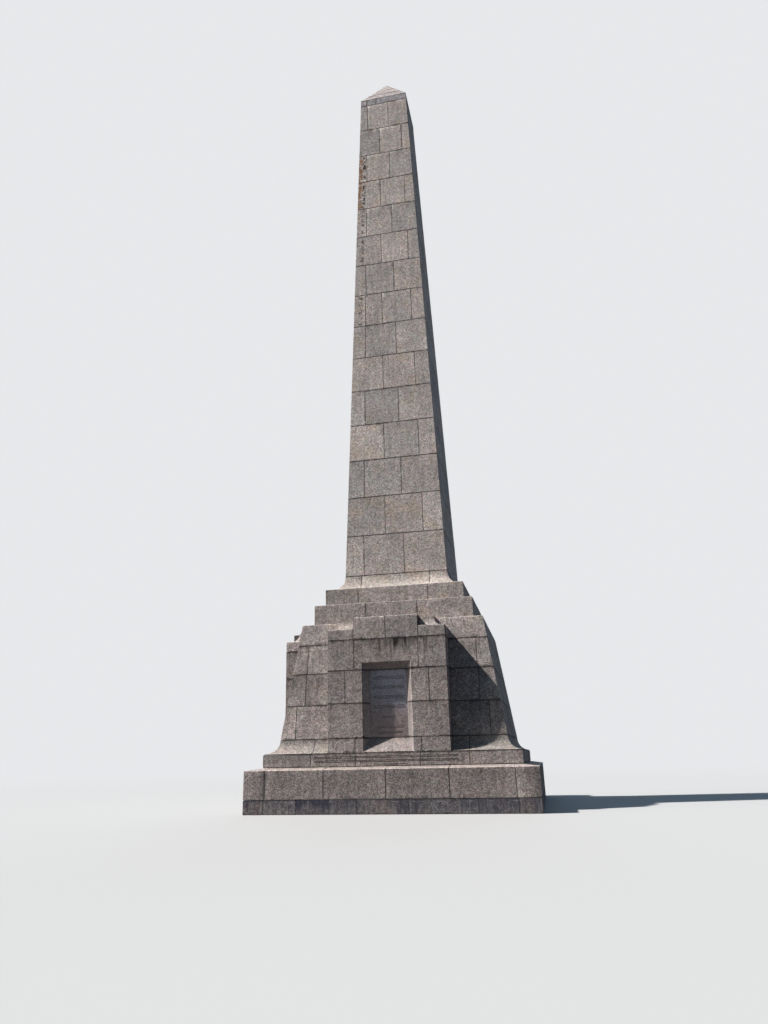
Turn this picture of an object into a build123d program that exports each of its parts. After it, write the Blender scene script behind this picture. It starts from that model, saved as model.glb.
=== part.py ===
from build123d import *
import math
import os

# Granite memorial obelisk. Millimetres, +Z up, front towards -Y.
# The origin is at ground level, in the middle of the foot course.

# Shaft
shaft_foot_width = 2910
shaft_top_width = 1690
shaft_course_height = 1185
shaft_course_count = 15

# Cap on the shaft
cap_band_height = 265
pyramid_height = 1445

# Hollow flare at the foot of the shaft
shaft_flare_height = 440
shaft_flare_projection = 250
shaft_flare_radius = 490

# Two steps under the shaft
upper_step_height = 475
upper_step_projection = 210
lower_step_height = 565
lower_step_projection = 245

# Battered pedestal, its courses from the top down
pedestal_ledge = 255
pedestal_batter = 425
top_course_height = 565
upper_course_height = 755
middle_course_height = 800
lower_course_height = 820

# Hollow flare at the foot of the pedestal
pedestal_flare_height = 350
pedestal_flare_projection = 320
pedestal_flare_radius = 335

# Base, plinth with a weathered top, and foot
base_height = 300
base_projection = 15
plinth_height = 720
plinth_projection = 355
plinth_weathering = 50
foot_height = 325

# Bays on the front, left and back faces, flush with the base course
bay_width = 3025
crest_width = 1670
shoulder_height = 278
hollow_margin = 130
hollow_projection = 160
hollow_height = 255

# Splayed niche in each bay
niche_width = 1250
niche_back_width = 930
niche_depth = 225
niche_soffit_rise = 178
niche_sill_fall = 325

# Heights of the bed joints
foot_top = foot_height
plinth_top = foot_top + plinth_height
base_top = plinth_top + base_height
flare_top = base_top + pedestal_flare_height
lower_top = flare_top + lower_course_height
middle_top = lower_top + middle_course_height
upper_top = middle_top + upper_course_height
pedestal_top = upper_top + top_course_height
lower_step_top = pedestal_top + lower_step_height
upper_step_top = lower_step_top + upper_step_height
shaft_start = upper_step_top + shaft_flare_height
shaft_end = shaft_start + shaft_course_count * shaft_course_height
cap_band_top = shaft_end + cap_band_height
apex = cap_band_top + pyramid_height

# Half widths, from the shaft outwards
shaft_half = shaft_foot_width / 2
shaft_top_half = shaft_top_width / 2
shaft_flare_half = shaft_half + shaft_flare_projection
upper_step_half = shaft_flare_half + upper_step_projection
lower_step_half = upper_step_half + lower_step_projection
pedestal_top_half = lower_step_half + pedestal_ledge
pedestal_foot_half = pedestal_top_half + pedestal_batter
pedestal_flare_half = pedestal_foot_half + pedestal_flare_projection
base_half = pedestal_flare_half + base_projection
plinth_half = base_half + plinth_projection
foot_half = plinth_half

# Half widths of the bays and their niches
bay_half = bay_width / 2
crest_half = crest_width / 2
niche_half = niche_width / 2
niche_back_half = niche_back_width / 2
shoulder_top = upper_top + shoulder_height
hollow_top = shoulder_top + hollow_height
hollow_radius = (hollow_height**2 + hollow_projection**2) / (2 * hollow_projection)

bay_turns = {"front": 0, "left": -90, "back": 180}


def shaft_half_at(z):
    """Half width of the tapering shaft at height z."""
    rise = (z - shaft_start) / (shaft_end - shaft_start)
    return shaft_half + rise * (shaft_top_half - shaft_half)


def pedestal_half_at(z):
    """Half width of the battered pedestal at height z."""
    rise = (z - flare_top) / (pedestal_top - flare_top)
    return pedestal_foot_half + rise * (pedestal_top_half - pedestal_foot_half)


def square_course(outline):
    """A square solid with mitred corners, from its side outline drawn as x and height."""
    face = Plane.XZ * make_face(outline)
    reach = face.bounding_box().max.X
    along_y = extrude(face, amount=reach, both=True)
    along_x = Rot(0, 0, 90) * along_y
    return along_y & along_x


def straight_course(bottom_half, top_half, z0, z1):
    """A course with straight faces, upright or battered."""
    corners = [(-bottom_half, z0), (bottom_half, z0), (top_half, z1), (-top_half, z1)]
    return square_course(Polyline(*corners, close=True))


def flared_course(top_half, projection, radius, z0, z1):
    """A course with a hollow moulding: an arc that starts upright at the top and spreads outwards."""
    drop = math.sqrt(radius**2 - (radius - projection) ** 2)
    turn = math.degrees(math.asin(drop / radius))
    foot_half = top_half + projection
    right = CenterArc((top_half + radius, z1), radius, 180, turn)
    left = CenterArc((-top_half - radius, z1), radius, 0, -turn)
    foot = Polyline(left @ 1, (-foot_half, z0), (foot_half, z0), right @ 1)
    top = Line((-top_half, z1), (top_half, z1))
    return square_course(right + left + foot + top)


def weathered_course(half, top_half, weathering, z0, z1):
    """An upright course whose top slopes gently up to the foot of the next course."""
    edge = z1 - weathering
    corners = [(-half, z0), (half, z0), (half, edge), (top_half, z1), (-top_half, z1), (-half, edge)]
    return square_course(Polyline(*corners, close=True))


def bay_prism(points, x0, x1):
    """A stone of the front bay: an outline in the YZ plane run from x0 to x1."""
    outline = Polyline(*[(x0, y, z) for y, z in points], close=True)
    return extrude(make_face(outline), amount=x1 - x0, dir=(1, 0, 0))


def bay_block(x0, x1, z0, z1):
    """A stone between the bay's upright face and the pedestal's battered face."""
    points = [
        (-base_half, z0),
        (-base_half, z1),
        (-pedestal_half_at(z1), z1),
        (-pedestal_half_at(z0), z0),
    ]
    return bay_prism(points, x0, x1)


def niche_void():
    """The space of the splayed niche, from the bay's face to the tablet."""
    front = Plane.XZ.offset(base_half)
    back = Plane.XZ.offset(base_half - niche_depth)
    front_low = flare_top - niche_sill_fall
    front_high = middle_top + niche_soffit_rise
    outer = Polyline(
        (-niche_half, front_low), (niche_half, front_low), (niche_half, front_high), (-niche_half, front_high),
        close=True,
    )
    inner = Polyline(
        (-niche_back_half, flare_top), (niche_back_half, flare_top),
        (niche_back_half, middle_top), (-niche_back_half, middle_top),
        close=True,
    )
    return loft([front * make_face(outer), back * make_face(inner)])


def bay_sill():
    """The stone at flare level, with the niche's steep sill cut into it."""
    depth = base_half - pedestal_foot_half
    block = Pos(0, -pedestal_foot_half - depth / 2, (base_top + flare_top) / 2) * Box(
        bay_width, depth, pedestal_flare_height
    )
    return block - niche_void()


def bay_jambs():
    """The two piers beside the niche, one stone for each pedestal course."""
    right = bay_block(niche_back_half, bay_half, flare_top, middle_top) - niche_void()
    left = mirror(right, Plane.YZ)
    return Compound(children=[left, right])


def bay_tablet():
    """The recessed tablet at the back of the niche."""
    face = -base_half + niche_depth
    points = [
        (face, flare_top),
        (face, middle_top),
        (-pedestal_half_at(middle_top), middle_top),
        (-pedestal_foot_half, flare_top),
    ]
    return bay_prism(points, -niche_back_half, niche_back_half)


def bay_lintel():
    """The course over the niche, with its splayed soffit."""
    return bay_block(-bay_half, bay_half, middle_top, upper_top) - niche_void()


def bay_crest():
    """The raised middle of the bay's top course."""
    return bay_block(-crest_half, crest_half, upper_top, pedestal_top)


def hollow_side(foot, corners):
    """A wide solid whose outer side is a hollow rising from its foot. The other corners lead round to its top."""
    top = foot - hollow_projection
    turn = math.degrees(math.asin(hollow_height / hollow_radius))
    hollow = CenterArc((top + hollow_radius, hollow_top), hollow_radius, 180, turn)
    rest = Polyline(hollow @ 1, *corners, hollow @ 0)
    return extrude(Plane.XZ * make_face(hollow + rest), amount=base_half, both=True)


def bay_shoulders():
    """The low stones beside the crest. A block with a mitred hollow along its front and end rises behind each."""
    slab = bay_block(crest_half, bay_half, upper_top, shoulder_top)
    along_front = hollow_side(
        base_half - hollow_margin,
        [(pedestal_half_at(shoulder_top), shoulder_top), (pedestal_top_half, pedestal_top)],
    )
    end_top = bay_half - hollow_margin - hollow_projection
    along_end = hollow_side(
        bay_half - hollow_margin,
        [(crest_half, shoulder_top), (crest_half, pedestal_top), (end_top, pedestal_top)],
    )
    right = slab + (Rot(0, 0, -90) * along_front & along_end)
    return Compound(children=[mirror(right, Plane.YZ), right])


def pedestal_flare():
    """The pedestal's moulded foot, with a seat cut for each bay's sill stone."""
    body = flared_course(
        pedestal_foot_half, pedestal_flare_projection, pedestal_flare_radius, base_top, flare_top
    )
    depth = base_half - pedestal_foot_half
    seat = Pos(0, -pedestal_foot_half - depth / 2, (base_top + flare_top) / 2) * Box(
        bay_width, depth, pedestal_flare_height
    )
    for turn in bay_turns.values():
        body = body - Rot(0, 0, turn) * seat
    return body


def pedestal_course(z0, z1):
    return straight_course(pedestal_half_at(z0), pedestal_half_at(z1), z0, z1)


def main_courses():
    """Every course of the monument apart from the shaft and the bays."""
    return {
        "foot_course": straight_course(foot_half, foot_half, 0, foot_top),
        "plinth_course": weathered_course(plinth_half, base_half, plinth_weathering, foot_top, plinth_top),
        "base_course": straight_course(base_half, base_half, plinth_top, base_top),
        "pedestal_flare": pedestal_flare(),
        "pedestal_lower_course": pedestal_course(flare_top, lower_top),
        "pedestal_middle_course": pedestal_course(lower_top, middle_top),
        "pedestal_upper_course": pedestal_course(middle_top, upper_top),
        "pedestal_top_course": pedestal_course(upper_top, pedestal_top),
        "lower_step": straight_course(lower_step_half, lower_step_half, pedestal_top, lower_step_top),
        "upper_step": straight_course(upper_step_half, upper_step_half, lower_step_top, upper_step_top),
        "shaft_foot": flared_course(
            shaft_half, shaft_flare_projection, shaft_flare_radius, upper_step_top, shaft_start
        ),
        "cap_band": straight_course(shaft_top_half, shaft_top_half, shaft_end, cap_band_top),
        "pyramid_stone": pyramid_stone(),
    }


def pyramid_stone():
    """The pointed stone that ends the shaft."""
    corners = [(-shaft_top_half, cap_band_top), (shaft_top_half, cap_band_top), (0, apex)]
    return square_course(Polyline(*corners, close=True))


def shaft_courses():
    """The tapering shaft, one solid for each course, numbered from the top."""
    courses = {}
    for number in range(1, shaft_course_count + 1):
        z1 = shaft_end - (number - 1) * shaft_course_height
        z0 = z1 - shaft_course_height
        courses[f"shaft_course_{number:02d}"] = straight_course(shaft_half_at(z0), shaft_half_at(z1), z0, z1)
    return courses


def bays():
    """The projecting bays with their niches, turned onto three faces of the pedestal."""
    stones = {
        "sill": bay_sill(),
        "jambs": bay_jambs(),
        "tablet": bay_tablet(),
        "lintel": bay_lintel(),
        "shoulders": bay_shoulders(),
        "crest": bay_crest(),
    }
    placed = {}
    for side, turn in bay_turns.items():
        for name, stone in stones.items():
            placed[f"{side}_bay_{name}"] = Rot(0, 0, turn) * stone
    return placed


os.makedirs("parts", exist_ok=True)
for node, solid in {**main_courses(), **shaft_courses(), **bays()}.items():
    export_step(solid, f"parts/{node}.step")
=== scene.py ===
import math
import random
from dataclasses import dataclass
from functools import cached_property
from types import SimpleNamespace

import bpy
import numpy as np
from mathutils import Matrix, Vector, noise


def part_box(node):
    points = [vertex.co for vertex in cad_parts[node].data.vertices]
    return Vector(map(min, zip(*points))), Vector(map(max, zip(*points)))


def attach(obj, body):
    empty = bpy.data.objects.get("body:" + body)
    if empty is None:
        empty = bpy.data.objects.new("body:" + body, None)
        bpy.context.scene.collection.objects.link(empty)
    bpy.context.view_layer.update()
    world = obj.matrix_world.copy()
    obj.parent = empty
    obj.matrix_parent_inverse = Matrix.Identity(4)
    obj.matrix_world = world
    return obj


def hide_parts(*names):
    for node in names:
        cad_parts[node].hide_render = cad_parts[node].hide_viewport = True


# The looks of a granite memorial obelisk, in metres, in the frame of the CAD model.
# Every CAD node is replaced by the stones that it is built of, with mortar behind their joints.

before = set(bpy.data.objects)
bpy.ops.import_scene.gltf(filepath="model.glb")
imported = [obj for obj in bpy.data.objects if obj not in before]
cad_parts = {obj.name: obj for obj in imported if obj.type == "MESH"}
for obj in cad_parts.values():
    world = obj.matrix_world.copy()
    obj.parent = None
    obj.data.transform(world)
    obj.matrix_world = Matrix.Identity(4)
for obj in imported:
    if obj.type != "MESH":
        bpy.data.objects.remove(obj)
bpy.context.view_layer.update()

# Stones that stand out from their neighbours
MARKED_STONES = {
    "foot_course left 4": {"damp": 2.0},
    "foot_course front 0": {"damp": -0.5},
    "foot_course front 1": {"damp": 2.6},
    "foot_course front 2": {"damp": -0.2},
    "plinth_course left 4": {"tone": 1.4, "hue": 0.5},
    "base_course front 0": {"tone": 0.8},
    "pedestal_middle_course left 2": {"wash": 2.3, "damp": 0.2},
    "pedestal_middle_course front 0": {"wash": 2.4, "damp": 0.4},
    "pedestal_middle_course right 0": {"tone": 1.2},
    "pedestal_upper_course left 2": {"wash": 1.8},
    "pedestal_upper_course front 2": {"tone": 0.9},
    "pedestal_upper_course right 0": {"tone": 2.0, "hue": 1.0},
    "pedestal_top_course front 2": {"tone": 1.8},
    "upper_step front 0": {"tone": -0.8, "hue": 0.8, "wash": 2.0},
    "shaft_course_15 front 0": {"tone": -1.1},
    "shaft_course_15 front 1": {"tone": -1.3, "hue": -1.0},
    "shaft_course_14 front 0": {"tone": -1.5},
    "shaft_course_14 front 1": {"tone": -1.3},
    "shaft_course_13 front 0": {"tone": -0.3, "hue": 1.2},
    "shaft_course_13 front 1": {"tone": -1.4},
    "shaft_course_12 front 0": {"tone": 0.7, "hue": -0.9},
    "shaft_course_12 front 1": {"tone": -0.3, "hue": 0.8},
    "shaft_course_11 front 0": {"tone": -1.2, "hue": 1.3},
    "shaft_course_10 front 1": {"hue": -1.3},
    "shaft_course_09 front 0": {"tone": -0.8, "hue": 0.6, "wash": 2.2},
    "shaft_course_07 front 1": {"hue": -1.0},
    "shaft_course_05 left 1": {"tone": 0.9},
    "shaft_course_05 front 1": {"tone": -1.0},
    "shaft_course_04 front 0": {"tone": 0.7, "hue": 0.1},
    "shaft_course_03 left 1": {"tone": 0.9, "hue": 0.2},
    "shaft_course_02 front 0": {"wash": 2.2, "tone": -0.9, "hue": 0.9},
    "pyramid_stone 2": {"tone": 3.0, "hue": 1.2},
    "front_bay_lintel 3.3 0": {"wash": 1.6, "tone": 0.6},
    "front_bay_lintel 3.3 1": {"wash": 1.7},
    "front_bay_lintel 3.3 2": {"wash": 1.0, "tone": 0.9},
    "left_bay_lintel 3.3 2": {"wash": 1.5, "tone": -0.6, "hue": 1.0, "damp": 0.7},
    "left_bay_jambs 2.5 3": {"tone": -2.8},
    "left_bay_jambs 1.7 1": {"tone": -2.0},
}

# How much lichen and how many specks grow on the courses of the shaft that have them
LICHEN = {
    "shaft_course_03": (0.85, 1.0),
    "shaft_course_04": (0.9, 1.0),
    "shaft_course_05": (0.2, 0.8),
    "shaft_course_06": (0.15, 0.8),
    "shaft_course_08": (0.1, 0.8),
}

# Masonry
JOINT = 0.006
WIDE_JOINT = 0.013
MORTAR_INSET = 0.011
ARRIS = 0.006
WORN_EDGE = 0.020
PLINTH_EDGE = 0.014
SETTING_ERROR = 0.0015
WASH_SPREAD = (0.4, 1.6)
PYRAMID_JOINTS = (0.42, 0.87)
TIP_HALF = 0.012

# The upright joints of the shaft and the backs of its stones, as shares of its half width.
# The backs move in by a step from one course to the next.
ODD_JOINT = 0.18
EVEN_JOINT = -0.19
SPLIT_JOINT = -0.67
SPLIT_COURSE = 8
ODD_BACK = 0.70
ODD_BACK_STEP = 0.0045
EVEN_BACK = 0.705
EVEN_BACK_STEP = 0.0075

# Waves and chips of the stones
WAVINESS = 0.003
WAVE_SCALE = 1.9
WAVE_CONTRAST = 1.6
CHIP_DEPTH = 0.02
CHIP_SCALE = 5.3
CHIP_START = 0.28
EDGE_LEAN = 0.1
NOISE_REACH = 50

# Meshes. Places closer together than CLOSE count as one.
CLOSE = 0.001
CELL = 0.14
CURVE_CELL = 0.045
CURVE_STEPS = 14
CURVE_POINTS = 8
ROLL_STEPS = 5
ROLL_REACH = 1.2
SHARP_ANGLE = math.radians(21)

# The distance of a joint that is nowhere near, and the depth below a ledge at which nothing runs down
FAR = 9.0
DRY = 2.0

# The faces that carry a bay, and the turn of each face from the front
TURNS = {"front": 0, "right": 90, "back": 180, "left": -90}
BAY_FACES = ("front", "left", "back")

# Bays
BAY_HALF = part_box("front_bay_sill")[1].x
BAY_CLEARANCE = 0.2
SILL_JOINT = 0.82
PIER_JOINT = 1.06
SHOULDER_JOINT = 0.835
SHOULDER_HEIGHT = 0.278
SHOULDER_CELL = 0.1
HOLLOW_MARGIN = 0.13
HOLLOW_PROJECTION = 0.16
HOLLOW_HEIGHT = 0.255
HOLLOW_STEPS = 9

# How far the backs of the sill and the crest lie inside the pedestal's face, and by how much the backs
# of the courses between them step out
SILL_TUCK = 0.02
CREST_TUCK = 0.015
BACK_STEP = 0.05

# Niches, with their tablets
NICHE_HALF = 0.625
NICHE_BACK_HALF = 0.465
NICHE_DEPTH = 0.225
NICHE_PROUD = 0.1
NICHE_EDGE = 0.01
NICHE_LINES = (np.linspace(-1, 1, 9), np.linspace(0, 1, 5), np.linspace(0, 1, 15))
# Painted light and shade on the sides of a niche, added to the tone of its left and its right half
NICHE_PAINTED_LIGHT = {"sill": (-0.6, -0.6), "jambs": (2.0, -3.6), "lintel": (0.8, 0.8)}
SOFFIT_RISE = 0.178
SILL_FALL = 0.325
TABLET_ARRIS = 0.004
TABLET_CELL = 0.2
TABLET_THICKNESS = 0.2

# Plain reeded rules in place of the inscriptions: left end, right end, middle height, number of reeds
REED_HEIGHT = 0.015
REED_DEPTH = 0.008
REED_PROUD = 0.05
BASE_RULES = [(-1.86, 1.69, 1.255, 2), (-1.86, 1.69, 1.165, 2), (-0.35, 0.45, 1.09, 1)]
TABLET_RULES = [
    *[(-0.40, 0.40, height, 3) for height in (3.12, 2.89, 2.65, 2.42)],
    (-0.17, 0.17, 2.18, 2),
    (-0.33, 0.36, 1.94, 2),
    (-0.31, 0.33, 1.81, 2),
]


def node_points(node):
    """The corner points of a CAD node, as an array."""
    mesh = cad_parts[node].data
    points = np.zeros(len(mesh.vertices) * 3)
    mesh.vertices.foreach_get("co", points)
    return points.reshape(-1, 3)


def node_ends(node):
    """Bottom and top height of a CAD node, and its half width at each."""
    points = node_points(node)
    low = points[:, 2].min()
    high = points[:, 2].max()
    half_low = np.abs(points[points[:, 2] < low + CLOSE, 0]).max()
    half_high = np.abs(points[points[:, 2] > high - CLOSE, 0]).max()
    return low, high, half_low, half_high


def face_top(node, half):
    """The height at which the upright face of a CAD node, at the given half width, ends."""
    points = node_points(node)
    return points[np.abs(points[:, 0]) > half - CLOSE, 2].max()


class Section:
    """The outline of a course seen from the side: heights and half widths along a path from the bottom.

    crown is the place along the path where the upright face ends.
    """

    def __init__(self, heights, halves, crown=None):
        self.heights = np.array(heights, float)
        self.halves = np.array(halves, float)
        steps = np.hypot(np.diff(self.heights), np.diff(self.halves))
        self.run = np.concatenate([[0.0], np.cumsum(steps)])
        self.crown = self.run[-1] if crown is None else crown

    def inset(self, amount):
        """The same outline moved in, and down at its top."""
        return Section(np.append(self.heights[0], self.heights[1:] - amount), self.halves - amount)

    def is_curved(self):
        return len(self.run) > CURVE_POINTS

    def middle_half(self):
        return (self.halves[0] + self.halves[-1]) / 2

    def lines(self, margin, cell):
        """Places along the path where the mesh is divided."""
        end = self.run[-1] - margin
        stops = [margin] + [s for s in self.run[1:-1] if margin < s < end] + [end]
        lines = [0.0]
        for start, stop in zip(stops[:-1], stops[1:]):
            count = max(1, round((stop - start) / cell))
            lines += list(np.linspace(start, stop, count + 1)[:-1])
        return np.array(lines + [stops[-1], self.run[-1]])


def straight_section(node):
    low, high, half_low, half_high = node_ends(node)
    return Section([low, high], [half_low, half_high])


def flared_section(node):
    """The hollow moulding of a flared course: a lip, then an arc that ends upright at the top."""
    low, high, reach, top_half = node_ends(node)
    lip = face_top(node, reach)
    projection = reach - top_half
    radius = ((high - lip) ** 2 + projection**2) / (2 * projection)
    turns = np.linspace(math.asin((high - lip) / radius), 0, CURVE_STEPS)
    heights = high - radius * np.sin(turns)
    halves = top_half + radius - radius * np.cos(turns)
    return Section(np.append(low, heights), np.append(reach, halves))


def worn(section, radius=WORN_EDGE):
    """The same outline with the edge at its top worn round."""
    turns = np.linspace(0, math.pi / 2, ROLL_STEPS)
    heights = section.heights[-1] - radius + radius * np.sin(turns)
    halves = np.interp(heights, section.heights, section.halves) - radius + radius * np.cos(turns)
    result = Section(np.append(section.heights[:-1], heights), np.append(section.halves[:-1], halves))
    result.crown = result.run[-1] - ROLL_REACH * radius
    return result


def weathered_section(node):
    """An upright course with a worn edge, whose top slopes up to the foot of the next course."""
    low, high, half_low, half_high = node_ends(node)
    edge = face_top(node, half_low)
    face = worn(Section([low, edge], [half_low, half_low]), PLINTH_EDGE)
    return Section(np.append(face.heights, high), np.append(face.halves, half_high), face.crown)


@dataclass
class Shell:
    """One closed mesh: its points, its faces, and named values at its points."""

    points: np.ndarray
    faces: list
    values: dict
    material: int = 0

    def turned(self, degrees):
        cos = math.cos(math.radians(degrees))
        sin = math.sin(math.radians(degrees))
        turn = np.array([[cos, -sin, 0], [sin, cos, 0], [0, 0, 1]])
        return Shell(self.points @ turn.T, self.faces, self.values, self.material)


# What the materials know of each point of a stone. down, bed, side and arris are its distances from the
# top of the face, a bed joint, an upright joint and the arris with the lichen. ledge is 0 on the face and
# counts on from 1 beyond the crown. sunk marks the bottoms of rules, and smooth the sides of a niche.
# The others say how strong a look is; tone also carries the painted light and shade on the sides of a
# niche.
VALUES = (
    "down", "bed", "side", "tone", "hue", "wash", "damp", "lichen", "specks", "arris", "sunk", "ledge",
    "smooth",
)


def lattice(us, vs, ws):
    """Points and outward quads on the surface of a box divided along the given lines."""
    shape = (len(us), len(vs), len(ws))
    on_surface = np.ones(shape, bool)
    on_surface[1:-1, 1:-1, 1:-1] = False
    number = np.full(shape, -1)
    number[on_surface] = np.arange(on_surface.sum())
    points = np.stack(np.meshgrid(us, vs, ws, indexing="ij"), axis=-1)[on_surface]
    quads = []
    for axis in range(3):
        for end in (0, shape[axis] - 1):
            sheet = number.take(end, axis=axis)
            ring = [sheet[:-1, :-1], sheet[1:, :-1], sheet[1:, 1:], sheet[:-1, 1:]]
            if (end == 0) != (axis == 1):
                ring.reverse()
            quads.append(np.stack(ring, axis=-1).reshape(-1, 4))
    return points, np.concatenate(quads)


def even_lines(length, margin, cell):
    count = max(1, round((length - 2 * margin) / cell))
    return np.concatenate([[0.0], np.linspace(margin, length - margin, count + 1), [length]])


def noise_at(points, scale, shift):
    return np.array([noise.noise(Vector(p) * scale + shift) for p in points.tolist()])


def weathered(points, outward, shift, setback):
    """Points moved inwards a little: gently waved faces, and chips along the edges."""
    wave = 0.5 + 0.5 * np.clip(noise_at(points, WAVE_SCALE, shift) * WAVE_CONTRAST, -1, 1)
    depth = WAVINESS * wave + setback
    on_edge = (np.abs(outward) > EDGE_LEAN).sum(axis=1) > 1
    chips = np.clip(noise_at(points[on_edge], CHIP_SCALE, shift) - CHIP_START, 0, None)
    depth[on_edge] += CHIP_DEPTH * chips
    return points - outward * depth[:, None]


def along(section, run, edge, corner_sign, gap):
    """The x of one end of a stone at places along the section: a corner, a joint or a list of places."""
    if edge is None:
        return corner_sign * np.interp(run, section.run, section.halves)
    if np.ndim(edge):
        return np.interp(run, section.run, edge)
    return np.full(len(run), edge - corner_sign * gap)


def block_size(section, left, right, inner):
    """Width, depth and length along the section of a block."""
    middle = section.middle_half()
    low = -middle if left is None else np.mean(left)
    high = middle if right is None else np.mean(right)
    back = -middle if inner is None else inner
    return np.array([high - low, middle - back, section.run[-1]])


def in_place(box, size, section, left, right, inner, joint):
    """Points of a box as points of a block of the front face."""
    run = box[:, 2]
    half = np.interp(run, section.run, section.halves)
    height = np.interp(run, section.run, section.heights)
    start = along(section, run, left, -1, joint / 2)
    end = along(section, run, right, 1, joint / 2)
    back = -half if inner is None else inner + joint / 2
    low = section.heights[0]
    squeeze = 1 - joint / (section.heights[-1] - low)
    x = start + (end - start) * box[:, 0] / size[0]
    y = -(half + (back - half) * box[:, 1] / size[1])
    z = low + joint / 2 + (height - low) * squeeze
    return np.stack([x, y, z], axis=1)


def joint_distance(box, size, left, right, inner):
    """Distance from the nearest upright joint. The end of a stone at a corner shows beside its back."""
    side = np.full(len(box), FAR) if inner is None else size[1] - box[:, 1]
    if left is not None and not np.ndim(left):
        side = np.minimum(side, box[:, 0])
    if right is not None and not np.ndim(right):
        side = np.minimum(side, size[0] - box[:, 0])
    return side


def places_on(box, size, section, left, right, inner, open_top):
    """Where the points of a stone lie between its joints, as values."""
    values = {name: np.zeros(len(box)) for name in VALUES}
    top = box[:, 2] > section.run[-1] - CLOSE
    beyond = box[:, 2] - section.crown + np.where(top, box[:, 1], 0)
    values["ledge"] = np.where(box[:, 2] > section.crown + CLOSE, 1 + beyond, 0)
    values["down"] = np.where(values["ledge"] > 0, DRY, section.crown - box[:, 2])
    values["bed"] = box[:, 2].copy() if open_top else np.minimum(box[:, 2], values["down"])
    values["side"] = joint_distance(box, size, left, right, inner)
    return values


def stone(
    section, left, right, inner, seed, joint=JOINT, cell=CELL, radius=ARRIS, wash=0.0, open_top=False
):
    """One stone of the front face, from x left to x right and back to y = -inner.

    left or right is None at a corner of the course, where the stone follows the section, or a list of
    places along the section. inner is None for a block that runs through to the back face. seed is the
    stone's name, which its random draws start from.
    """
    rng = random.Random(seed)
    shift = Vector([rng.uniform(-NOISE_REACH, NOISE_REACH) for _ in range(3)])
    size = block_size(section, left, right, inner)
    points, quads = lattice(
        even_lines(size[0], radius, cell),
        even_lines(size[1], radius, cell * 2),
        section.lines(radius, CURVE_CELL if section.is_curved() else cell),
    )
    core = np.clip(points, radius, size - radius)
    outward = points - core
    outward /= np.linalg.norm(outward, axis=1)[:, None]
    box = core + outward * radius
    placed = in_place(box, size, section, left, right, inner, joint)
    placed = weathered(placed, outward, shift, rng.uniform(0, SETTING_ERROR))
    values = places_on(box, size, section, left, right, inner, open_top)
    marks = {"tone": rng.uniform(-1, 1), "hue": rng.uniform(-1, 1), "wash": rng.uniform(*WASH_SPREAD)}
    marks.update(MARKED_STONES.get(seed, {}))
    marks["wash"] *= wash
    for name, amount in marks.items():
        values[name] += amount
    return Shell(placed, quads.tolist(), values)


def mortar(section, left=None, right=None, inner=None):
    """The mortar that shows in the joints: a plain block just behind the faces of the stones."""
    section = section.inset(MORTAR_INSET)
    size = block_size(section, left, right, inner)
    box, quads = lattice([0, size[0]], [0, size[1]], section.run)
    points = in_place(box, size, section, left, right, inner, 0)
    values = {name: np.zeros(len(box)) for name in VALUES}
    return Shell(points, quads.tolist(), values, 1)


@dataclass
class Bond:
    """How the stones of a course are laid out.

    front and side are the joints on the front and back, and on the left and right faces. corner says
    whose stones turn the corners. inner is half the width between the backs of the stones, and
    bay_reach half the width that a bay covers. A course with an open top has a worn edge.
    """

    kind: str
    front: list
    side: list
    corner: str
    inner: float
    wash: float = 0.4
    damp: float = 0.0
    joint: float = JOINT
    bay_reach: float = 0.0
    open_top: bool = False

    def face_cuts(self, face):
        """The places where a face is cut into stones. None at an end is a corner that the face owns."""
        along_front = face in ("front", "back")
        owns = self.corner == ("front" if along_front else "sides")
        start = None if owns or self.corner == "left" else -self.inner
        end = None if owns or self.corner == "right" else self.inner
        joints = list(self.front if along_front else self.side)
        if self.bay_reach and face in BAY_FACES:
            joints = [x for x in joints if abs(x) > self.bay_reach + BAY_CLEARANCE]
            joints += [-self.bay_reach, self.bay_reach]
        return [start] + sorted(joints) + [end]

    def behind_bay(self, face, left, right):
        if not self.bay_reach or face not in BAY_FACES:
            return False
        return left == -self.bay_reach and right == self.bay_reach


def course_shells(node, section, bond, carve=None):
    """All the stones of a course, face by face, and the mortar behind them."""
    shells = [mortar(section)]
    for face, turn in TURNS.items():
        cuts = bond.face_cuts(face)
        for place, (left, right) in enumerate(zip(cuts[:-1], cuts[1:])):
            outline = section
            if bond.behind_bay(face, left, right):
                if not bond.open_top:
                    continue
                outline = Section(section.heights[[0, -1]], section.halves[[-1, -1]])
            seed = f"{node} {face} {place}"
            shell = stone(
                outline, left, right, bond.inner, seed, bond.joint, wash=bond.wash, open_top=bond.open_top
            )
            if carve and face == "front":
                shell = carved(shell, carve, REED_DEPTH - section.halves[0])
            shell.values["damp"] += bond.damp
            shells.append(shell.turned(turn))
    return shells


def mesh_of(name, shell):
    mesh = bpy.data.meshes.new(name)
    mesh.from_pydata(shell.points.tolist(), [], shell.faces)
    return mesh


def add_object(name, data):
    item = bpy.data.objects.new(name, data)
    bpy.context.scene.collection.objects.link(item)
    return item


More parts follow.
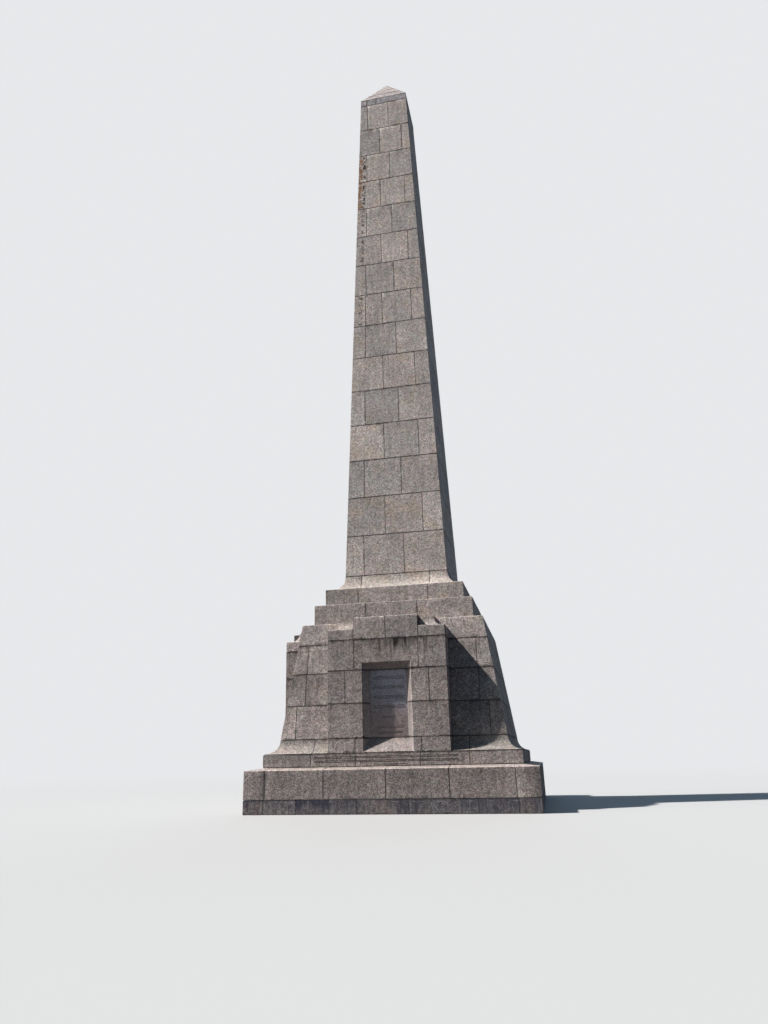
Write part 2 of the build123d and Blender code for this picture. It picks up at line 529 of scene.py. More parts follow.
def carved(shell, cutter_shell, floor=None):
    """A stone with a shape cut out of it. floor is the y of the bottom of a sunk rule."""
    target = add_object("target", mesh_of("target", shell))
    cutter = add_object("cutter", mesh_of("cutter", cutter_shell))
    change = target.modifiers.new("cut", "BOOLEAN")
    change.operation = "DIFFERENCE"
    change.solver = "EXACT"
    change.object = cutter
    bpy.context.view_layer.update()
    result = bpy.data.meshes.new_from_object(target.evaluated_get(bpy.context.evaluated_depsgraph_get()))
    points = np.array([v.co[:] for v in result.vertices])
    faces = [list(p.vertices) for p in result.polygons]
    for item in (target, cutter):
        bpy.data.objects.remove(item)
    bpy.data.meshes.remove(result)
    values = carried_values(shell, points)
    if floor is not None:
        values["sunk"] = (np.abs(points[:, 1] - floor) < CLOSE / 2).astype(float)
    return Shell(points, faces, values, shell.material)


def carried_values(shell, points):
    """Values at new points, taken from the nearest old point, with heights worked out again."""
    nearest = np.array([np.argmin(((shell.points - p) ** 2).sum(axis=1)) for p in points])
    values = {name: shell.values[name][nearest] for name in VALUES}
    step = points - shell.points[nearest]
    rising = np.where(values["bed"] < values["down"] - CLOSE, 1, -1)
    values["bed"] = np.maximum(values["bed"] + rising * step[:, 2], 0)
    values["down"] = np.maximum(values["down"] - step[:, 2], 0)
    outwards = np.where(points[:, 0] > shell.points[:, 0].mean(), -1, 1)
    values["side"] = np.maximum(values["side"] + outwards * step[:, 0], 0)
    return values


def box_shell(x0, x1, y0, y1, z0, z1):
    points, quads = lattice([x0, x1], [y0, y1], [z0, z1])
    return Shell(points, quads.tolist(), {})


def merged(shells):
    """Several shells as one, without their values."""
    points = np.concatenate([s.points for s in shells])
    faces = []
    first = 0
    for shell in shells:
        faces += [[first + i for i in face] for face in shell.faces]
        first += len(shell.points)
    return Shell(points, faces, {})


def build_piece(name, shells, kind, node, fill=None):
    """One Blender piece from many shells, standing for a CAD node. Its first material is the stone's."""
    mesh = mesh_of(name, merged(shells))
    for value in VALUES:
        numbers = np.concatenate([s.values[value] for s in shells])
        mesh.attributes.new(value, "FLOAT", "POINT").data.foreach_set("value", numbers)
    mesh.materials.append(GRANITE[kind])
    mesh.materials.append(fill or MORTAR)
    indices = np.concatenate([np.full(len(s.faces), s.material) for s in shells])
    mesh.polygons.foreach_set("material_index", indices)
    mesh.polygons.foreach_set("use_smooth", np.ones(len(mesh.polygons), bool))
    mesh.set_sharp_from_angle(angle=SHARP_ANGLE)
    piece = add_object(name, mesh)
    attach(piece, "root")
    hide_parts(node)


class Graph:
    """Builds the nodes of a material or of the world."""

    def __init__(self, owner):
        self.owner = owner
        owner.use_nodes = True
        self.tree = owner.node_tree
        self.tree.nodes.clear()

    def add(self, kind, settings=None, *values, **inputs):
        """A new node with its settings, its first inputs in their order and others by name."""
        node = self.tree.nodes.new("ShaderNode" + kind)
        for key, value in (settings or {}).items():
            setattr(node, key, value)
        for number, value in enumerate(values):
            self.feed(node.inputs[number], value)
        for key, value in inputs.items():
            self.feed(node.inputs[key.replace("_", " ")], value)
        return node

    def feed(self, socket, value):
        if isinstance(value, bpy.types.NodeSocket):
            self.tree.links.new(value, socket)
        else:
            socket.default_value = value

    def math(self, operation, *values):
        """Several values put together by one operation, in their order."""
        result = values[0]
        for value in values[1:]:
            result = self.add("Math", {"operation": operation}, result, value).outputs[0]
        return result

    def product(self, *values):
        return self.math("MULTIPLY", *values)

    def total(self, *values):
        return self.math("ADD", *values)

    def most(self, *values):
        return self.math("MAXIMUM", *values)

    def remap(self, value, low, high, to_low=0.0, to_high=1.0):
        """A soft step from to_low to to_high, while the value goes from low to high."""
        step = self.add(
            "MapRange", {"interpolation_type": "SMOOTHSTEP"},
            Value=value, From_Min=low, From_Max=high, To_Min=to_low, To_Max=to_high,
        )
        return step.outputs[0]

    @cached_property
    def place(self):
        """The place on the object."""
        return self.add("TexCoord").outputs["Object"]

    def noise(self, scale, detail=3.0, roughness=0.55, place=None):
        node = self.add(
            "TexNoise", Vector=place or self.place, Scale=scale, Detail=detail, Roughness=roughness
        )
        return node.outputs["Fac"]

    def runs(self, across, up, detail=3.0, roughness=0.55):
        """Noise that is drawn out along the height, with one scale across and another up."""
        node = self.add("VectorMath", {"operation": "MULTIPLY"}, self.place, (across, across, up))
        return self.noise(1.0, detail, roughness, node.outputs[0])

    def cells(self, scale):
        """Random numbers that each cell of a pattern has to itself."""
        colour = self.add("TexVoronoi", Vector=self.place, Scale=scale, Randomness=1.0).outputs["Color"]
        return self.add("SeparateColor", Color=colour).outputs

    def mix(self, factor, a, b, blend="MIX"):
        node = self.add("Mix", {"data_type": "RGBA", "blend_type": blend}, factor)
        self.feed(node.inputs[6], a)
        self.feed(node.inputs[7], b)
        return node.outputs[2]

    def value(self, name):
        return self.add("Attribute", {"attribute_name": name}).outputs["Fac"]

    def bump(self, height, strength, distance, **under):
        node = self.add("Bump", Height=height, Strength=strength, Distance=distance, **under)
        return node.outputs["Normal"]

    def finish(self, colour, roughness, bump, specular):
        shader = self.add(
            "BsdfPrincipled",
            Base_Color=colour, Roughness=roughness, Normal=bump, Specular_IOR_Level=specular,
        )
        return self.surface(shader.outputs[0])

    def surface(self, shader):
        self.add("OutputMaterial", Surface=shader)
        return self.owner

    def blend(self, factor, a, b):
        """Two shaders mixed into one."""
        return self.add("MixShader", None, factor, a, b).outputs[0]


def rgb(red, green, blue):
    """An sRGB colour given from 0 to 255, as Blender's linear colour."""
    linear = [((c / 255 + 0.055) / 1.055) ** 2.4 for c in (red, green, blue)]
    return (*linear, 1.0)


# Grains and patches of the granite, as noise scales for one metre
CRYSTALS = 115.0
CLUMPS = 44.0
SPECKLES = 46.0
MOTTLES = 10.0
FINE_GRAIN = 190.0
COARSE_GRAIN = 24.0

# The mean brightness of the grain, and how much of the grain is left where the stone is dressed smooth
GRAIN_MEAN = 0.93
SMOOTH_SHARE = 0.45

# Veils are multiplied into the colour below them
OCHRE_VEIL = (1.03, 0.97, 0.85, 1.0)
PINK_VEIL = (1.022, 0.98, 1.0, 1.0)
GREEN_VEIL = (0.983, 1.012, 0.988, 1.0)
# The rim veil makes the top edge paler: partly worn stone, partly a painted highlight of the light on the
# rounded edge
RIM_WEAR_AND_HIGHLIGHT_VEIL = (1.30, 1.31, 1.27, 1.0)
# The ledge veil darkens the tops beyond the rim: dirt, and painted shade that tones down the light falling
# on them
LEDGE_DIRT_AND_SHADE_VEIL = (0.60, 0.59, 0.57, 1.0)
LICHEN_COLOUR = rgb(146, 100, 60)
SPECK_COLOUR = rgb(54, 42, 37)
LIME_COLOUR = rgb(176, 172, 166)


def crystals(g):
    """The brightness of granite's feldspar, quartz and mica grains."""
    grains = g.cells(CRYSTALS)
    feldspar = g.remap(grains[0], 0.0, 1.0, 0.82, 1.16)
    mica = g.remap(grains[1], 0.10, 0.16, 0.45, 1.0)
    clump = g.remap(g.cells(CLUMPS)[0], 0.0, 1.0, 0.64, 1.32)
    return g.product(feldspar, mica, clump)


def shading(g, look):
    """Brightness that varies from grain to grain, in soft streaks and from stone to stone."""
    grain = look.grain
    mottle = look.mottle
    bed_margin = 1.0 + (look.margin - 1.0) * 0.6
    rough = g.product(
        crystals(g),
        g.remap(g.noise(SPECKLES, 3.0, 0.7), 0.36, 0.64, 1.0 - 0.30 * grain, 1.0 + 0.26 * grain),
        g.remap(g.noise(MOTTLES, 4.0, 0.65), 0.35, 0.65, 1.0 - mottle, 1.0 + mottle),
    )
    share = g.remap(g.value("smooth"), 0.0, 1.0, 1.0, SMOOTH_SHARE)
    return g.product(
        g.total(g.product(g.math("SUBTRACT", rough, GRAIN_MEAN), share), GRAIN_MEAN),
        g.remap(g.runs(9.0, 0.9, 4.0, 0.6), 0.35, 0.65, 0.915, 1.085),
        g.remap(g.noise(0.9, 5.0, 0.6), 0.3, 0.7, 0.92, 1.08),
        g.remap(g.value("side"), 0.03, look.margin_reach, look.margin, 1.0),
        g.remap(g.value("bed"), 0.04, look.margin_reach, bed_margin, 1.0),
        g.total(g.product(g.value("tone"), look.tone), 1.0),
    )


def on_ledge(g, colour, look):
    """The colour beyond the crown: a pale rim, partly worn stone and partly a painted highlight where the
    rounded edge catches the light, and then dirt and painted shade on the ledge.
    """
    ledge = g.value("ledge")
    rim = g.product(g.remap(ledge, 0.0, 1.0), g.remap(ledge, 1.04, 1.10, 1.0, 0.0), look.rim)
    colour = g.mix(rim, colour, RIM_WEAR_AND_HIGHLIGHT_VEIL, "MULTIPLY")
    # Dirt and painted shade on the ledge
    return g.mix(g.remap(ledge, 1.06, 1.20, 0.0, look.ledge_dirt), colour, LEDGE_DIRT_AND_SHADE_VEIL, "MULTIPLY")


def minerals(g, cloud, look):
    """The colour of the stone: warmer and cooler parts, with faint ochre, pink and green, and on a tablet
    a painted reflection of the sky towards its top.
    """
    tint = g.total(g.product(g.value("hue"), 0.38), g.remap(cloud, 0.3, 0.7, 0.1, 0.9))
    # A tablet cools towards its top: a painted reflection of the sky
    if look.cool_top:
        height = g.add("SeparateXYZ", Vector=g.place).outputs["Z"]
        tint = g.product(tint, g.remap(height, *look.cool_top, 0.0, 1.7))
    body = g.mix(tint, look.warm, look.cool)
    ochre = g.remap(g.noise(1.9, 4.0, 0.6), 0.52, 0.66, 0.0, look.ochre)
    body = g.mix(ochre, body, OCHRE_VEIL, "MULTIPLY")
    body = on_ledge(g, body, look)
    blotches = g.remap(g.noise(6.5), 0.4, 0.6)
    return g.mix(1.0, body, g.mix(blotches, PINK_VEIL, GREEN_VEIL), "MULTIPLY")


def joint_dirt_and_shade(g, look):
    """How much dirt and painted shade lies along the joints, creeping further out in some places."""
    ragged = g.product(g.math("SUBTRACT", g.noise(9.0, 5.0, 0.75), 0.5), 0.07)
    creep = g.remap(g.noise(3.0, 4.0, 0.7), 0.50, 0.72, 0.0, 0.05)
    spread = g.math("SUBTRACT", ragged, creep)
    broken = g.remap(g.noise(1.6, 3.0, 0.6), 0.36, 0.62, 0.35, 1.0)
    reach = look.dirt_reach
    # Dirt and painted shade along the bed joints
    bed_dirt = g.remap(g.total(g.value("bed"), spread), -0.004, reach, look.bed_dirt, 0.0)
    side_dirt = g.remap(g.total(g.value("side"), spread), -0.006, reach * 0.75, look.side_dirt, 0.0)
    # Painted shade on the rounded edges beside the joints, dimming the light that they catch
    edges = g.math("MINIMUM", g.value("bed"), g.total(g.value("side"), 0.003))
    edge_dirt = g.remap(edges, 0.006, 0.011, look.edge_dirt, 0.0)
    return g.most(edge_dirt, g.product(g.most(bed_dirt, side_dirt), broken))


def run_off(g):
    """Dark streaks, a soft band and a broken line that rain leaves below a ledge or a joint."""
    down = g.value("down")
    streaks = g.remap(g.runs(13.0, 0.6, 4.0, 0.65), 0.36, 0.68)
    where = g.remap(g.runs(1.1, 0.3), 0.38, 0.60, 0.25, 1.0)
    reach = g.product(g.runs(5.0, 0.2), 1.1)
    fade = g.remap(g.math("DIVIDE", down, reach), 0.0, 1.0, 1.0, 0.0)
    band = g.remap(down, 0.0, 0.30, 0.5, 0.0)
    broken = g.remap(g.noise(7.0, 4.0, 0.7), 0.42, 0.58, 0.1, 1.0)
    line = g.product(g.remap(down, 0.005, 0.10, 1.0, 0.0), broken)
    wet = g.product(g.most(g.product(streaks, fade), band, line), where)
    return g.product(g.most(wet, g.product(line, 0.6)), g.value("wash"))


def damp_stain_and_shade(g, look):
    """Bluish grey stains that run down the stone in broad patches, and a dark line of painted shade under
    the joint.
    """
    down = g.value("down")
    patches = g.product(g.runs(1.05, 0.15, 2.0, 0.5), 0.55)
    ragged = g.product(g.runs(4.5, 1.6, 5.0, 0.65), 0.25)
    trickles = g.product(g.runs(10.0, 0.7, 3.0, 0.6), 0.20)
    height = g.remap(down, 0.0, 0.30, 0.03, -0.04)
    stain = g.remap(g.total(patches, ragged, trickles, height), 0.41, 0.60, 0.10, 0.85)
    broken = g.remap(g.runs(26.0, 5.0, 4.0, 0.7), 0.35, 0.65, 0.6, 1.1)
    # Painted shade just under the joint above
    under = g.remap(down, 0.010, 0.035, look.under_joint, 0.0)
    return g.product(g.most(g.product(stain, broken), under), g.value("damp"))


def lime(g, look):
    """Pale lime washed out of the joint above, in dashes along the top edge."""
    down = g.value("down")
    dashes = g.remap(g.runs(5.0, 0.5, 5.0, 0.7), 0.53, 0.60, 0.0, look.lime)
    below = g.remap(down, 0.028, 0.040)
    above = g.remap(down, 0.050, 0.066, 1.0, 0.0)
    streaks = g.remap(g.runs(24.0, 1.6, 3.0, 0.6), 0.54, 0.66, 0.0, look.lime * 0.45)
    return g.most(g.product(dashes, below, above), streaks)


def lichen_patches(g, colour):
    """Brown orange lichen along an arris, and a row of dark specks beside it."""
    away = g.value("arris")
    lichen = g.value("lichen")
    near = g.remap(away, 0.07, 0.24, 0.15, 0.0)
    blots = g.total(g.noise(11.0, 5.0, 0.75), g.product(near, lichen))
    growing = g.remap(lichen, 0.0, 0.3)
    patch = g.product(g.remap(blots, 0.585, 0.64, 0.0, 0.85), g.remap(near, 0.0, 0.04), growing)
    row = g.product(g.remap(away, 0.13, 0.18), g.remap(away, 0.24, 0.30, 1.0, 0.0))
    spots = g.remap(g.noise(11.0, 3.0, 0.6), 0.50, 0.57, 0.0, 0.9)
    colour = g.mix(patch, colour, LICHEN_COLOUR)
    return g.mix(g.product(spots, row, g.value("specks")), colour, SPECK_COLOUR)


def granite(name, look):
    """Weathered granite: mottled stone with dirt, streaks, damp, lime and lichen on it, and painted light
    and shade: a highlight on worn rims, shade on ledges, along joints and under them, and a sky reflection
    on tablets.
    """
    g = Graph(bpy.data.materials.new(name))
    cloud = g.noise(1.7, 5.0, 0.6)
    colour = g.mix(1.0, minerals(g, cloud, look), shading(g, look), "MULTIPLY")
    colour = g.mix(g.product(run_off(g), look.streak), colour, look.soot)
    # Dirt and painted shade along the joints, in the dark grime colour
    colour = g.mix(joint_dirt_and_shade(g, look), colour, look.soot)
    # Damp stains, and painted shade under the joints
    colour = g.mix(damp_stain_and_shade(g, look), colour, look.slime)
    if look.lime:
        colour = g.mix(lime(g, look), colour, LIME_COLOUR)
    colour = lichen_patches(g, colour)
    colour = g.mix(g.product(g.value("sunk"), 0.9), colour, look.soot)
    fine_bump = g.bump(g.noise(FINE_GRAIN, 3.0, 0.7), 0.35, 0.0015)
    bump = g.bump(g.noise(COARSE_GRAIN, 4.0, 0.7), 0.6, 0.005, Normal=fine_bump)
    roughness = g.remap(cloud, 0.3, 0.7, look.rough - 0.06, look.rough + 0.06)
    return g.finish(colour, roughness, bump, look.specular)


def mortar_material(name, dark, pale, pale_share):
    """Mortar in the joints, with paler pointing here and there."""
    g = Graph(bpy.data.materials.new(name))
    patches = g.remap(g.noise(2.4), 0.62 - 0.3 * pale_share, 0.70 - 0.2 * pale_share)
    fine = g.noise(60.0)
    colour = g.mix(patches, dark, pale)
    colour = g.mix(1.0, colour, g.remap(fine, 0.3, 0.7, 0.8, 1.15), "MULTIPLY")
    return g.finish(colour, 0.95, g.bump(fine, 0.6, 0.004), 0.2)


def stone_look(warm, cool, **changes):
    """The settings of a granite, with what differs from the usual.

    margin is how bright a stone is near its joints. A pair of heights makes a painted reflection of the
    sky cool the stone between them.
    """
    usual = dict(
        warm=rgb(*warm), cool=rgb(*cool), soot=rgb(60, 54, 52), slime=rgb(76, 74, 78),
        tone=0.08, grain=1.0, mottle=0.15, ochre=0.5, cool_top=None, margin=1.06, margin_reach=0.17,
        bed_dirt=0.66, side_dirt=0.40, edge_dirt=0.72, dirt_reach=0.030, rim=1.0, ledge_dirt=0.7,
        under_joint=0.5, lime=0.0, streak=0.5, rough=0.9, specular=0.02,
    )
    return SimpleNamespace(**{**usual, **changes})


# Every granite: its warmer and its cooler colour, and what differs from the usual
LOOKS = {
    "foot": stone_look(
        (154, 143, 140), (138, 133, 135), slime=rgb(78, 77, 88), mottle=0.22, bed_dirt=0.45, edge_dirt=0.4,
        under_joint=0.35, lime=0.6,
    ),
    "plinth": stone_look(
        (167, 155, 150), (151, 142, 139), ochre=0.2, ledge_dirt=0.2, margin=1.16, margin_reach=0.30,
        bed_dirt=0.45, side_dirt=0.34, edge_dirt=0.45, dirt_reach=0.04,
    ),
    "base": stone_look((173, 162, 156), (157, 150, 147), slime=rgb(90, 90, 98), margin=1.12),
    "pedestal": stone_look((175, 163, 158), (157, 150, 147)),
    "step": stone_look((184, 173, 168), (168, 160, 156), rim=0.1, bed_dirt=1.0, edge_dirt=0.95),
    "moulding": stone_look((161, 151, 145), (145, 140, 136), tone=0.05, grain=0.6, mottle=0.07),
    "flare": stone_look((189, 178, 171), (175, 167, 161), tone=0.04, bed_dirt=0.5, mottle=0.07),
    "shaft": stone_look((207, 194, 187), (191, 184, 181), ochre=0.65, edge_dirt=0.85, mottle=0.09),
    "band": stone_look((196, 188, 187), (182, 177, 180), side_dirt=0.35, bed_dirt=0.4, mottle=0.08),
    "cap": stone_look((186, 176, 172), (170, 164, 165), tone=0.06, mottle=0.08),
    "bay": stone_look(
        (180, 168, 163), (163, 155, 153), streak=0.7, bed_dirt=0.85, rim=0.4, ledge_dirt=0.25
    ),
    "tablet": stone_look(
        (134, 119, 119), (146, 144, 155), soot=rgb(16, 14, 18), grain=0.35, mottle=0.12, tone=0.0,
        streak=0.4, rough=0.42, specular=0.6, cool_top=(2.1, 2.9),
    ),
}
GRANITE = {kind: granite("granite_" + kind, look) for kind, look in LOOKS.items()}
MORTAR = mortar_material("mortar", rgb(92, 86, 82), rgb(160, 152, 144), 0.25)
POINTING = mortar_material("pointing", rgb(66, 62, 62), rgb(200, 194, 186), 0.75)

# Joints in metres from the middle of a face, seen from outside
BONDS = {
    "foot_course": Bond(
        "foot", [-2.19, -1.37, -0.70, 0.69, 2.12], [-2.25, -0.75, 0.75, 2.25], "sides", 3.01,
        damp=1.0, joint=WIDE_JOINT,
    ),
    "plinth_course": Bond(
        "plinth", [-1.523, -0.015, 1.48], [-2.26, -0.75, 0.75, 2.26], "sides", 2.985,
        wash=0.6, damp=0.1, joint=WIDE_JOINT, open_top=True,
    ),
    "base_course": Bond(
        "base", [-1.948, -0.815, 0.769, 1.939], [-1.5, 0.0, 1.5], "front", 2.72, wash=0.4, damp=0.15
    ),
    "pedestal_flare": Bond(
        "moulding", [-1.93, 1.93], [-2.1, -0.7, 0.7, 2.1], "front", 2.5, wash=0.2, bay_reach=BAY_HALF
    ),
    "pedestal_lower_course": Bond(
        "pedestal", [], [-1.9, -0.6, 0.6, 1.9], "sides", 2.45, wash=0.8, bay_reach=BAY_HALF
    ),
    "pedestal_middle_course": Bond(
        "pedestal", [], [-1.2, 0.0, 1.2], "sides", 2.235, wash=0.9, bay_reach=BAY_HALF
    ),
    "pedestal_upper_course": Bond(
        "pedestal", [], [-1.7, -0.55, 0.55, 1.7], "sides", 2.21, wash=1.2, bay_reach=BAY_HALF
    ),
    "pedestal_top_course": Bond(
        "pedestal", [], [-0.9, 0.9], "front", 1.98, wash=0.25, bay_reach=1.12, open_top=True
    ),
    "lower_step": Bond("step", [-0.728, 0.68], [-0.6, 0.6], "front", 1.78, wash=0.15, open_top=True),
    "upper_step": Bond("step", [-0.982, 0.953], [0.0], "front", 1.52, wash=0.4, open_top=True),
    "shaft_foot": Bond("flare", [-0.975, 0.967], [-0.5, 0.5], "front", 1.1, wash=0.15),
    "cap_band": Bond("band", [-0.27], [-0.27], "right", 0.614, wash=0.1),
}


def shaft_bond(number, half):
    """Two long stones on each face, turning the corners one way in odd courses and the other in even.

    The split course has one stone more on its front and back.
    """
    if number % 2:
        joints = [ODD_JOINT * half]
        return Bond("shaft", joints, joints, "right", (ODD_BACK - ODD_BACK_STEP * number) * half)
    side = [EVEN_JOINT * half]
    front = [SPLIT_JOINT * half] + side if number == SPLIT_COURSE else side
    return Bond("shaft", front, side, "left", (EVEN_BACK - EVEN_BACK_STEP * number) * half)


def reeds(rules, face):
    """A cutter for plain reeded rules on a face at y = -face."""
    bars = []
    for left, right, height, count in rules:
        for k in range(count):
            z = height + (k - (count - 1) / 2) * REED_HEIGHT * 2
            low = z - REED_HEIGHT / 2
            high = z + REED_HEIGHT / 2
            bars.append(box_shell(left, right, -face - REED_PROUD, -face + REED_DEPTH, low, high))
    return merged(bars)


def lichen_on(shells, lichen, specks, section):
    """Lichen near the arris between the front and the left face."""
    for shell in shells:
        reach = np.interp(shell.points[:, 2], section.heights, section.halves)
        shell.values["arris"] += np.hypot(shell.points[:, 0] + reach, shell.points[:, 1] + reach)
        shell.values["lichen"] += lichen
        shell.values["specks"] += specks


def course_section(node, bond):
    """The outline of a course, from the CAD node that it stands for."""
    if node in ("pedestal_flare", "shaft_foot"):
        return flared_section(node)
    if node == "plinth_course":
        return weathered_section(node)
    section = straight_section(node)
    return worn(section) if bond.open_top else section


def build_courses():
    """Every course of the monument except those of the shaft, the bays and the pointed stone."""
    for node, bond in BONDS.items():
        section = course_section(node, bond)
        carve = reeds(BASE_RULES, section.halves[0]) if node == "base_course" else None
        fill = POINTING if bond.joint == WIDE_JOINT else MORTAR
        build_piece(node + "_stones", course_shells(node, section, bond, carve), bond.kind, node, fill)


def build_shaft():
    for node in sorted(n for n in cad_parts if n.startswith("shaft_course_")):
        section = straight_section(node)
        bond = shaft_bond(int(node[-2:]), section.middle_half())
        shells = course_shells(node, section, bond)
        if node in LICHEN:
            lichen_on(shells, *LICHEN[node], section)
        build_piece(node + "_stones", shells, "shaft", node)


def build_pyramid():
    """The pointed top: two courses and an apex stone, each a single block."""
    low, high, half_low, half_high = node_ends("pyramid_stone")
    whole = Section([low, high - TIP_HALF], [half_low, TIP_HALF])
    levels = [low] + [low + rise for rise in PYRAMID_JOINTS] + [high - TIP_HALF]
    shells = [mortar(whole)]
    for place, level in enumerate(zip(levels[:-1], levels[1:])):
        section = Section(level, np.interp(level, whole.heights, whole.halves))
        shells.append(stone(section, None, None, None, f"pyramid_stone {place}", wash=0.3))
    build_piece("pointed_stone", shells, "cap", "pyramid_stone")


def niche_cutter(face, grow=0.0):
    """The space of the splayed niche, a little proud of the bay's face."""
    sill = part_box("front_bay_tablet")[0].z
    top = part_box("front_bay_tablet")[1].z
    box, quads = lattice(*NICHE_LINES)
    share = (1 + NICHE_PROUD / NICHE_DEPTH) * (1 - box[:, 1])
    half = NICHE_BACK_HALF + (NICHE_HALF - NICHE_BACK_HALF) * share + grow
    low = sill - SILL_FALL * share - grow
    high = top + SOFFIT_RISE * share + grow
    y = -face - NICHE_PROUD + (NICHE_PROUD + NICHE_DEPTH + grow) * box[:, 1]
    points = np.stack([half * box[:, 0], y, low + (high - low) * box[:, 2]], axis=1)
    return Shell(points, quads.tolist(), {})


class Bay:
    """One bay, made for the front face and turned onto its own."""

    def __init__(self, side):
        self.side = side
        self.face = -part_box("front_bay_sill")[0].y
        self.niche = niche_cutter(self.face)
        self.wide_niche = niche_cutter(self.face, MORTAR_INSET)

    def name(self, part):
        return f"{self.side}_bay_{part}"

    def end(self, x, section):
        """An end of a stone: a joint as it is, and an open end as a list of places."""
        is_open = min(abs(abs(x) - BAY_HALF), abs(abs(x) - NICHE_BACK_HALF)) < CLOSE
        return np.full(len(section.run), x) if is_open else x

    def with_niche(self, shell, part):
        """A stone with the niche cut out of it, its cut sides dressed smooth and given painted light and
        shade.
        """
        shell = carved(shell, self.niche)
        inside = (shell.points[:, 1] > NICHE_EDGE - self.face) & (np.abs(shell.points[:, 0]) < NICHE_HALF)
        shell.values["tone"] += inside * np.where(shell.points[:, 0] < 0, *NICHE_PAINTED_LIGHT[part])
        shell.values["smooth"] += inside
        return shell

    def stones(self, part, level, spans, inner, wash, open_top=False):
        """The stones of one part of the bay between two heights, and the mortar between them."""
        section = Section(level, [self.face, self.face])
        if open_top:
            section = worn(section)
        reach = max(right for left, right in spans) - MORTAR_INSET
        block = mortar(section, -reach, reach, inner)
        shells = []
        for place, (left, right) in enumerate(spans):
            ends = self.end(left, section), self.end(right, section)
            seed = f"{self.name(part)} {level[0]:.1f} {place}"
            shell = stone(section, *ends, inner, seed, wash=wash, open_top=open_top)
            if left < NICHE_HALF and right > -NICHE_HALF and not open_top:
                shell = self.with_niche(shell, part)
            shells.append(shell)
        return shells + [block if open_top else carved(block, self.wide_niche)]

    def shoulders(self, base, ledge, top, inner):
        """The low stones beside the crest, with a mitred hollow round the block that rises behind each."""
        radius = (HOLLOW_HEIGHT**2 + HOLLOW_PROJECTION**2) / (2 * HOLLOW_PROJECTION)
        turns = np.linspace(math.asin(HOLLOW_HEIGHT / radius), 0, HOLLOW_STEPS)
        heights = ledge + HOLLOW_HEIGHT - radius * np.sin(turns)
        insets = HOLLOW_MARGIN + HOLLOW_PROJECTION - radius + radius * np.cos(turns)
        slab = worn(Section([base, ledge], [self.face, self.face]))
        insets = np.concatenate([self.face - slab.halves, insets])
        section = Section(
            np.concatenate([slab.heights, heights, [top]]),
            np.append(self.face - insets, inner + CREST_TUCK),
            slab.crown,
        )
        outer = np.append(BAY_HALF - insets, BAY_HALF - insets[-1])
        spans = {"left": (-outer, -SHOULDER_JOINT), "right": (SHOULDER_JOINT, outer)}
        name = self.name("shoulders")
        return [
            stone(section, *ends, inner, f"{name} {side}", cell=SHOULDER_CELL, open_top=True)
            for side, ends in spans.items()
        ]

    def tablet(self, low, high):
        """The recessed tablet. The front one has plain reeded rules."""
        front = self.face - NICHE_DEPTH
        section = Section([low, high], [front, front])
        ends = np.full(2, NICHE_BACK_HALF)
        shell = stone(
            section, -ends, ends, front - TABLET_THICKNESS, self.name("tablet"),
            joint=TABLET_ARRIS, cell=TABLET_CELL, radius=TABLET_ARRIS,
        )
        if self.side == "front":
            floor = shell.points[:, 1].min() + REED_DEPTH
            shell = carved(shell, reeds(TABLET_RULES, REED_DEPTH - floor), floor)
        return [shell]

    def build(self, part, shells, kind="bay"):
        turned = [shell.turned(TURNS[self.side]) for shell in shells]
        build_piece(self.name(part) + "_stones", turned, kind, self.name(part))


def both_sides(spans):
    return [(-right, -left) for left, right in reversed(spans)] + spans


def build_bays():
    """The bays, with heights and depths from the courses that they stand against."""
    base, sill = node_ends("front_bay_sill")[:2]
    pier, foot_half = node_ends("pedestal_lower_course")[1:3]
    lintel, cap = node_ends("front_bay_lintel")[:2]
    top = node_ends("front_bay_crest")[1]
    top_half = node_ends("pedestal_top_course")[3]
    crest_back = top_half - CREST_TUCK
    lintel_back = top_half + 2 * BACK_STEP
    pier_back = lintel_back + BACK_STEP
    foot_back = lintel_back + 2 * BACK_STEP
    thirds = [(-BAY_HALF, -SILL_JOINT), (-SILL_JOINT, SILL_JOINT), (SILL_JOINT, BAY_HALF)]
    lower = both_sides([(NICHE_BACK_HALF, BAY_HALF)])
    upper = both_sides([(NICHE_BACK_HALF, PIER_JOINT), (PIER_JOINT, BAY_HALF)])
    halves = both_sides([(0.0, SHOULDER_JOINT)])
    for side in BAY_FACES:
        bay = Bay(side)
        bay.build("sill", bay.stones("sill", [base, sill], thirds, foot_half - SILL_TUCK, wash=0.5))
        jambs = bay.stones("jambs", [sill, pier], lower, foot_back, wash=0.7)
        jambs += bay.stones("jambs", [pier, lintel], upper, pier_back, wash=0.8)
        bay.build("jambs", jambs)
        bay.build("lintel", bay.stones("lintel", [lintel, cap], thirds, lintel_back, wash=1.2))
        bay.build("shoulders", bay.shoulders(cap, cap + SHOULDER_HEIGHT, top, crest_back))
        bay.build("crest", bay.stones("crest", [cap, top], halves, crest_back, wash=0.3, open_top=True))
        bay.build("tablet", bay.tablet(sill, lintel), "tablet")


build_courses()
build_shaft()
build_pyramid()
build_bays()

# Camera, fitted to the photograph
LENS = 26.57
SENSOR = 36.0
SHIFT = (0.0147, -0.0207)
CAMERA_PLACE = (3.805, -21.973, 1.269)
CAMERA_HEADING = math.radians(12.425)
CAMERA_PITCH = math.radians(19.355)
CAMERA_ROLL = math.radians(-1.227)
CAMERA_REACH = 1000


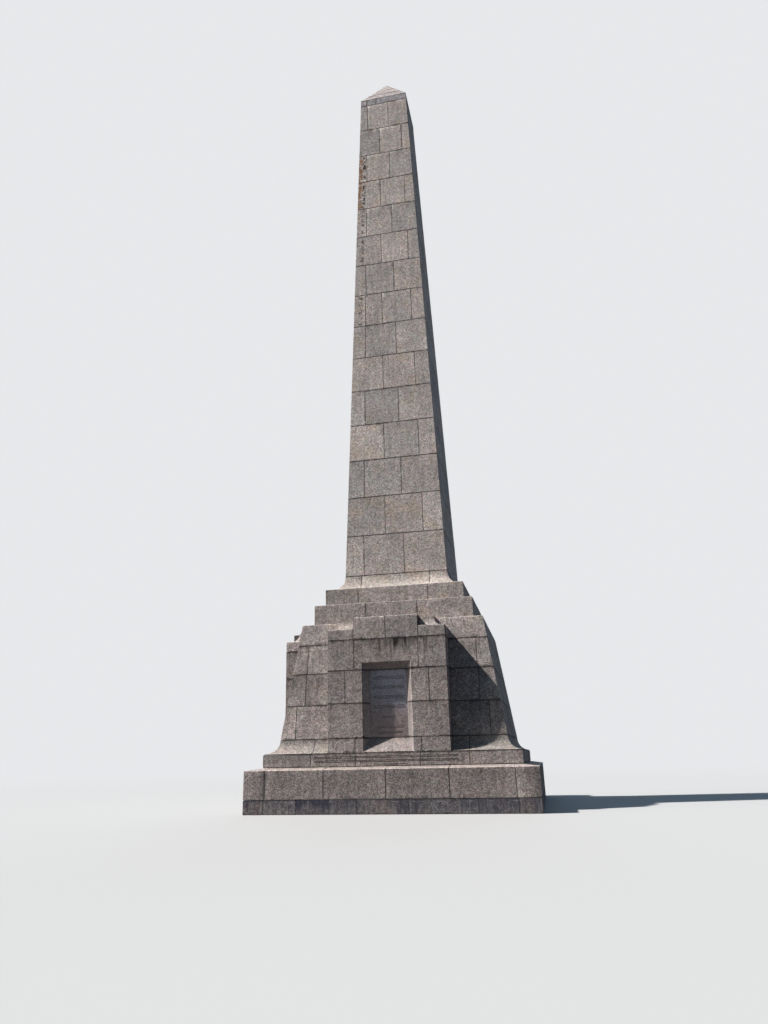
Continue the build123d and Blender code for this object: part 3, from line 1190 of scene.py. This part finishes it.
def add_camera():
    data = bpy.data.cameras.new("camera")
    data.lens = LENS
    data.sensor_width = SENSOR
    data.shift_x, data.shift_y = SHIFT
    data.clip_end = CAMERA_REACH
    camera = add_object("camera", data)
    heading = Matrix.Rotation(CAMERA_HEADING, 4, "Z")
    tilt = Matrix.Rotation(math.radians(90) + CAMERA_PITCH, 4, "X")
    roll = Matrix.Rotation(CAMERA_ROLL, 4, "Z")
    camera.matrix_world = Matrix.Translation(CAMERA_PLACE) @ heading @ tilt @ roll
    bpy.context.scene.camera = camera


# Lamps far away: the direction in which each stands, its strength, its width in degrees and its colour
SUNS = {
    "key": ((-1.0, -0.291, 1.29), 6.6, 1.5, (1.0, 0.97, 0.93)),
    "front_fill": ((-1.0, -0.4, 0.25), 0.6, 20.0, (1.0, 1.0, 1.0)),
    "back_fill": ((-0.1, 1.0, 0.45), 1.2, 50.0, (0.60, 0.81, 1.0)),
}
BACKGROUND = (0.80, 0.81, 0.83, 1.0)
AMBIENT = (0.47, 0.69, 1.0, 1.0)
AMBIENT_STRENGTH = 0.165

# Floor, with its colour for the camera and for the light that it throws back
FLOOR_REACH = 150.0
FLOOR_STEPS = 96
FLOOR_FADE = (12.0, 60.0)
FLOOR_SEEN = (0.42, 0.42, 0.42, 1.0)
FLOOR_LIT = (0.05, 0.05, 0.05, 1.0)


def add_sun(name, direction, strength, width, colour):
    data = bpy.data.lights.new(name, "SUN")
    data.energy = strength
    data.angle = math.radians(width)
    data.color = colour
    lamp = add_object(name, data)
    lamp.rotation_euler = Vector(direction).to_track_quat("Z", "Y").to_euler()


def seen_directly(g):
    """1 for rays from the camera and for reflections, 0 for light that falls on things."""
    path = g.add("LightPath").outputs
    return g.most(path["Is Camera Ray"], path["Is Glossy Ray"], path["Is Transmission Ray"])


def add_world():
    """Bluish light on the things, and a pale background behind them."""
    g = Graph(bpy.data.worlds.new("world"))
    light = g.add("Background", Color=AMBIENT, Strength=AMBIENT_STRENGTH).outputs[0]
    view = g.add("Background", Color=BACKGROUND).outputs[0]
    g.add("OutputWorld", Surface=g.blend(seen_directly(g), light, view))
    bpy.context.scene.world = g.owner


def floor_material():
    """A pale floor that fades into the background far away and throws little light back."""
    g = Graph(bpy.data.materials.new("floor"))
    away = g.add("VectorMath", {"operation": "LENGTH"}, g.place).outputs["Value"]
    direct = seen_directly(g)
    matt = g.add("BsdfDiffuse", Color=g.mix(direct, FLOOR_LIT, FLOOR_SEEN)).outputs[0]
    glow = g.add("Emission", Color=BACKGROUND).outputs[0]
    return g.surface(g.blend(g.product(g.remap(away, *FLOOR_FADE), direct), matt, glow))


def add_floor():
    turns = np.linspace(0, 2 * math.pi, FLOOR_STEPS, endpoint=False)
    rim = np.stack([np.cos(turns), np.sin(turns), np.zeros(FLOOR_STEPS)], axis=1) * FLOOR_REACH
    mesh = mesh_of("floor", Shell(rim, [list(range(FLOOR_STEPS))], {}))
    mesh.materials.append(floor_material())
    floor = add_object("floor", mesh)


add_camera()
for name, sun in SUNS.items():
    add_sun(name, *sun)
add_world()
add_floor()
bpy.context.scene.view_settings.view_transform = "Standard"
